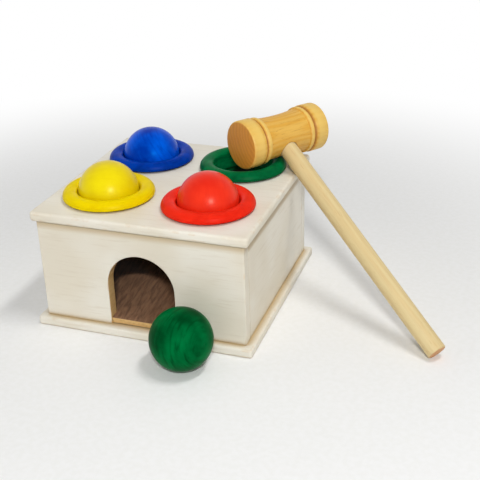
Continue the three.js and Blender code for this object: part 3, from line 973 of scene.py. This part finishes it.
def handle_mesh(length):
    """The handle from its far end up into the head."""
    profile = [(0.0, 0.0)]
    profile += [(HANDLE_RADIUS - inset, rise) for inset, rise in quarter_round(HANDLE_CHAMFER)]
    profile += [(HANDLE_RADIUS, length), (0.0, length)]
    return finished(turned(profile), "handle", HANDLE)


far_end, top_end = axis_of("hammer_handle")
handle_up = (top_end - far_end).normalized()
head_middle = top_end - handle_up * HANDLE_PAST_AXIS
head_ends = axis_of("hammer_head")
head_along = (head_ends[1] - head_ends[0]).normalized()
head_along = (head_along - handle_up * head_along.dot(handle_up)).normalized()
head_across = handle_up.cross(head_along)
head_axes = Matrix((head_across, handle_up, head_along)).transposed().to_4x4()
head_place = Matrix.Translation(head_middle) @ head_axes
piece("hammer_head_turned", head_mesh(), "mallet", "hammer_head", head_place)

handle_axes = Matrix((head_along, head_across, handle_up)).transposed().to_4x4()
handle_place = Matrix.Translation(far_end) @ handle_axes
handle = handle_mesh((top_end - far_end).length)
piece("hammer_handle_turned", handle, "mallet", "hammer_handle", handle_place)

# Floor

card = Look("floor_card")
card_grain = card.fade(card.noise((300, 300, 300), detail=2.0), 0.3, 0.7)
card.colour(card.mix(card_grain, srgb(240, 240, 239), srgb(237, 237, 235)))
card.surface.inputs["Roughness"].default_value = 0.9
card.fade_to_white(FLOOR_WHITE_FROM, FLOOR_WHITE_AT)
bm = bmesh.new()
bmesh.ops.create_grid(bm, x_segments=1, y_segments=1, size=FLOOR_REACH)
floor = bpy.data.objects.new("floor", finished(bm, "floor", card.material))
scene.collection.objects.link(floor)

# Light

world = bpy.data.worlds.new("studio")
world.use_nodes = True
tree = world.node_tree
air = tree.nodes["Background"]
air.inputs["Color"].default_value = (1.0, 1.0, 1.0, 1.0)
level = tree.nodes.new("ShaderNodeMapRange")
level.inputs["To Min"].default_value = AMBIENT
level.inputs["To Max"].default_value = 1.0
tree.links.new(seen_rays(tree), level.inputs["Value"])
tree.links.new(level.outputs["Result"], air.inputs["Strength"])
scene.world = world


def toward(azimuth, elevation):
    """Direction from the bench to a point seen at that bearing, measured as the camera's is."""
    a, e = math.radians(azimuth), math.radians(elevation)
    return Vector((math.sin(a) * math.cos(e), -math.cos(a) * math.cos(e), math.sin(e)))


def softbox(name, azimuth, elevation, distance, width, height, power, highlight=False):
    """A lamp aimed at the bench. It either lights the surfaces or only shows in them as a highlight."""
    lamp = bpy.data.lights.new(name, "AREA")
    lamp.shape = "RECTANGLE"
    lamp.size = width
    lamp.size_y = height
    lamp.energy = power
    holder = bpy.data.objects.new(name, lamp)
    scene.collection.objects.link(holder)
    direction = toward(azimuth, elevation)
    holder.location = LAMP_AIM + direction * distance
    holder.rotation_euler = direction.to_track_quat("Z", "Y").to_euler()
    holder.visible_glossy = highlight
    holder.visible_diffuse = not highlight


softbox("key", azimuth=21, elevation=36, distance=1.2, width=0.16, height=0.04, power=7.0)
softbox("side", azimuth=80, elevation=69, distance=1.2, width=0.4, height=0.12, power=5.0)
softbox("fill_left", azimuth=-58, elevation=10, distance=1.1, width=0.5, height=0.3, power=1.2)
softbox("catch", azimuth=31, elevation=25, distance=0.9, width=0.12, height=0.12, power=5.0, highlight=True)

# Camera

camera_data = bpy.data.cameras.new("camera")
camera_data.lens = CAMERA_LENS
camera_data.sensor_width = CAMERA_SENSOR
camera = bpy.data.objects.new("camera", camera_data)
scene.collection.objects.link(camera)
back = toward(CAMERA_AZIMUTH, CAMERA_ELEVATION)
right = toward(CAMERA_AZIMUTH + 90, 0)
up = back.cross(right)
roll_cos = math.cos(math.radians(CAMERA_ROLL))
roll_sin = math.sin(math.radians(CAMERA_ROLL))
rolled_right = right * roll_cos + up * roll_sin
rolled_up = up * roll_cos - right * roll_sin
aim = right * CAMERA_AIM_RIGHT + Vector((0, 0, CAMERA_AIM_HEIGHT))
axes = Matrix((rolled_right, rolled_up, back)).transposed().to_4x4()
camera.matrix_world = Matrix.Translation(aim + back * CAMERA_DISTANCE) @ axes
scene.camera = camera

scene.view_settings.view_transform = "Standard"
